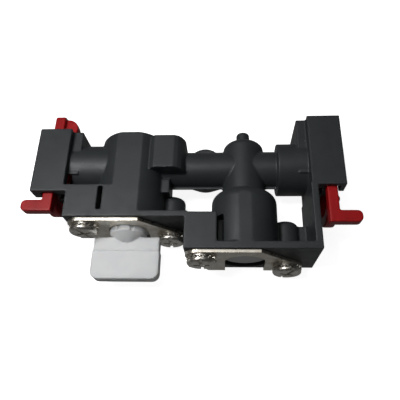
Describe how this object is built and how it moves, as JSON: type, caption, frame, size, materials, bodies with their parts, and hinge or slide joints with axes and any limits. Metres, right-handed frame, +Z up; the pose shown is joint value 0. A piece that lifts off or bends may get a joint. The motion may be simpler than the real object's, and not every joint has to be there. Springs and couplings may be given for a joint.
{
  "type": "diverter valve",
  "caption": "Moulded boiler diverter valve with a clip-in pipe socket at each end, a branch port below, a paddle-knob shut-off rotor and a spring-loaded bypass cartridge.",
  "frame": {"origin": "centre of the branch port's mouth, on the base plane", "axes": "+X along the pipe run towards the right socket, +Y away from the knob, +Z up from the base plane, opposite to the branch port's mouth"},
  "size_m": [0.1436, 0.0748, 0.028],
  "materials": {
    "body_plastic": "satin moulded",
    "milky_plastic": "smooth",
    "ivory_plastic": "smooth",
    "black_rubber": "matte",
    "white_seat": "smooth",
    "grey_plastic": "smooth",
    "nickel_steel": "nickel plated",
    "bright_steel": "nickel plated",
    "insert_brass": "turned",
    "red_plastic": "glossy",
    "white_plug": "smooth",
    "spring_steel": "drawn wire"
  },
  "bodies": {
    "valve": {"valve_body": "body_plastic", "rotor_seat_rings": "white_seat", "seat_backing_rings": "black_rubber", "gland_bush": "grey_plastic", "gland_o_ring": "black_rubber", "left_retaining_plate": "nickel_steel", "right_retaining_plate": "nickel_steel", "left_plate_screws": "bright_steel", "right_plate_screws": "bright_steel", "left_spring_washers": "bright_steel", "right_spring_washers": "bright_steel", "left_flat_washers": "bright_steel", "right_flat_washers": "bright_steel", "threaded_inserts": "insert_brass", "left_socket_o_ring": "black_rubber", "right_socket_o_ring": "black_rubber", "branch_port_o_ring": "black_rubber", "cartridge_plug": "white_plug", "plug_o_ring": "black_rubber", "cartridge_sleeve": "white_plug", "sleeve_o_rings": "black_rubber", "poppet_spring": "spring_steel"},
    "knob_and_rotor": {"knob": "milky_plastic", "rotor": "ivory_plastic", "rotor_stem_o_rings": "black_rubber"},
    "left_clip": {"left_clip": "red_plastic"},
    "right_clip": {"right_clip": "red_plastic"},
    "bypass_poppet": {"poppet": "ivory_plastic", "poppet_seal": "black_rubber"}
  },
  "joints": [
    {"name": "knob_turn", "type": "hinge", "parent": "valve", "child": "knob_and_rotor", "pos_m": [-0.0328, 0, 0.014], "axis": [0, 1, 0], "range_deg": [0, 90]},
    {"name": "left_clip_pull", "type": "slide", "parent": "valve", "child": "left_clip", "axis": [0, -1, 0], "range_m": [0, 0.03]},
    {"name": "right_clip_pull", "type": "slide", "parent": "valve", "child": "right_clip", "axis": [0, -1, 0], "range_m": [-0.0076, 0.015]},
    {"name": "poppet_lift", "type": "slide", "parent": "valve", "child": "bypass_poppet", "axis": [0, -1, 0], "range_m": [0, 0.004], "stiffness_N_per_m": 300, "springref_m": -0.004, "deforming": ["poppet_spring"]}
  ]
}
